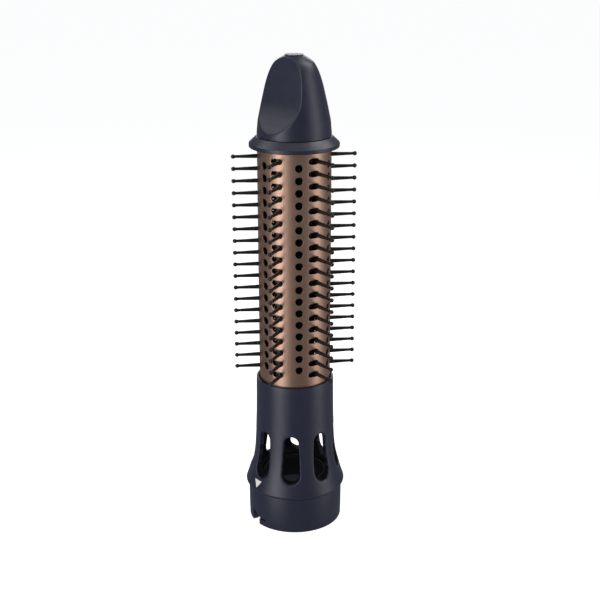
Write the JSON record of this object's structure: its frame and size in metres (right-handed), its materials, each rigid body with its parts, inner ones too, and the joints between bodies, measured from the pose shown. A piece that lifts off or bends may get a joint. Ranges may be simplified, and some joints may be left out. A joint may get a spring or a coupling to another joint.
{
  "type": "hot air brush head",
  "caption": "Detachable round head of a hot air brush: perforated barrel with rows of bristles that a knob at the end draws in, on a flared, vented coupling base.",
  "frame": {"origin": "centre of the coupling rim's lower face, on the barrel's axis", "axes": "+Z along the barrel towards the knob; -Y is the side that one of the base's eight openings faces, and the mark is 45 degrees from it towards -X"},
  "size_m": [0.0498, 0.0488, 0.2008],
  "materials": {
    "navy_plastic": "satin moulded, dark navy",
    "rose_gold_aluminium": "satin anodised rose gold",
    "black_nylon": "smooth nylon, slightly glossy",
    "glass_filled_plastic": "matt moulded",
    "acetal": "smooth",
    "steel": "zinc plated",
    "silicone": "soft matt",
    "white_mark": "printed white"
  },
  "bodies": {
    "root": {"coupling_collar": "navy_plastic", "base_housing": "navy_plastic", "alignment_mark": "white_mark", "socket_seal": "silicone", "barrel": "rose_gold_aluminium", "bearing_spider": "glass_filled_plastic", "lower_bush": "acetal", "spider_screw_1": "steel", "spider_screw_2": "steel", "spider_screw_3": "steel", "end_flange": "navy_plastic", "detent_spring": "steel"},
    "knob": {"knob": "navy_plastic", "knob_tip_plug": "navy_plastic", "knob_screw": "steel", "carrier_top_disc": "glass_filled_plastic", "thrust_washer": "acetal", "drive_tube": "glass_filled_plastic", "air_deflector": "glass_filled_plastic", "carrier_bottom_ring": "glass_filled_plastic", "retaining_clip": "steel"},
    "strip_1": {"bristle_strip_1": "black_nylon"},
    "strip_2": {"bristle_strip_2": "black_nylon"},
    "strip_3": {"bristle_strip_3": "black_nylon"},
    "strip_4": {"bristle_strip_4": "black_nylon"},
    "strip_5": {"bristle_strip_5": "black_nylon"},
    "strip_6": {"bristle_strip_6": "black_nylon"}
  },
  "joints": [
    {"name": "knob_turn", "type": "hinge", "parent": "root", "child": "knob", "pos_m": [0, 0, 0.1688], "axis": [0, 0, -1], "range_deg": [0, 45]},
    {"name": "strip_1_swing", "type": "hinge", "parent": "knob", "child": "strip_1", "pos_m": [-0.00638, -0.01069, 0.115], "axis": [0, 0, 1], "range_deg": [0, 85.05]},
    {"name": "strip_2_swing", "type": "hinge", "parent": "knob", "child": "strip_2", "pos_m": [0.00606, -0.01087, 0.115], "axis": [0, 0, 1], "range_deg": [0, 85.05]},
    {"name": "strip_3_swing", "type": "hinge", "parent": "knob", "child": "strip_3", "pos_m": [0.01245, -0.00018, 0.115], "axis": [0, 0, 1], "range_deg": [0, 85.05]},
    {"name": "strip_4_swing", "type": "hinge", "parent": "knob", "child": "strip_4", "pos_m": [0.00638, 0.01069, 0.115], "axis": [0, 0, 1], "range_deg": [0, 85.05]},
    {"name": "strip_5_swing", "type": "hinge", "parent": "knob", "child": "strip_5", "pos_m": [-0.00606, 0.01087, 0.115], "axis": [0, 0, 1], "range_deg": [0, 85.05]},
    {"name": "strip_6_swing", "type": "hinge", "parent": "knob", "child": "strip_6", "pos_m": [-0.01245, 0.00018, 0.115], "axis": [0, 0, 1], "range_deg": [0, 85.05]}
  ],
  "couplings": [
    {"joint": "strip_1_swing", "follows": "knob_turn", "ratio": 1.89},
    {"joint": "strip_2_swing", "follows": "knob_turn", "ratio": 1.89},
    {"joint": "strip_3_swing", "follows": "knob_turn", "ratio": 1.89},
    {"joint": "strip_4_swing", "follows": "knob_turn", "ratio": 1.89},
    {"joint": "strip_5_swing", "follows": "knob_turn", "ratio": 1.89},
    {"joint": "strip_6_swing", "follows": "knob_turn", "ratio": 1.89}
  ]
}
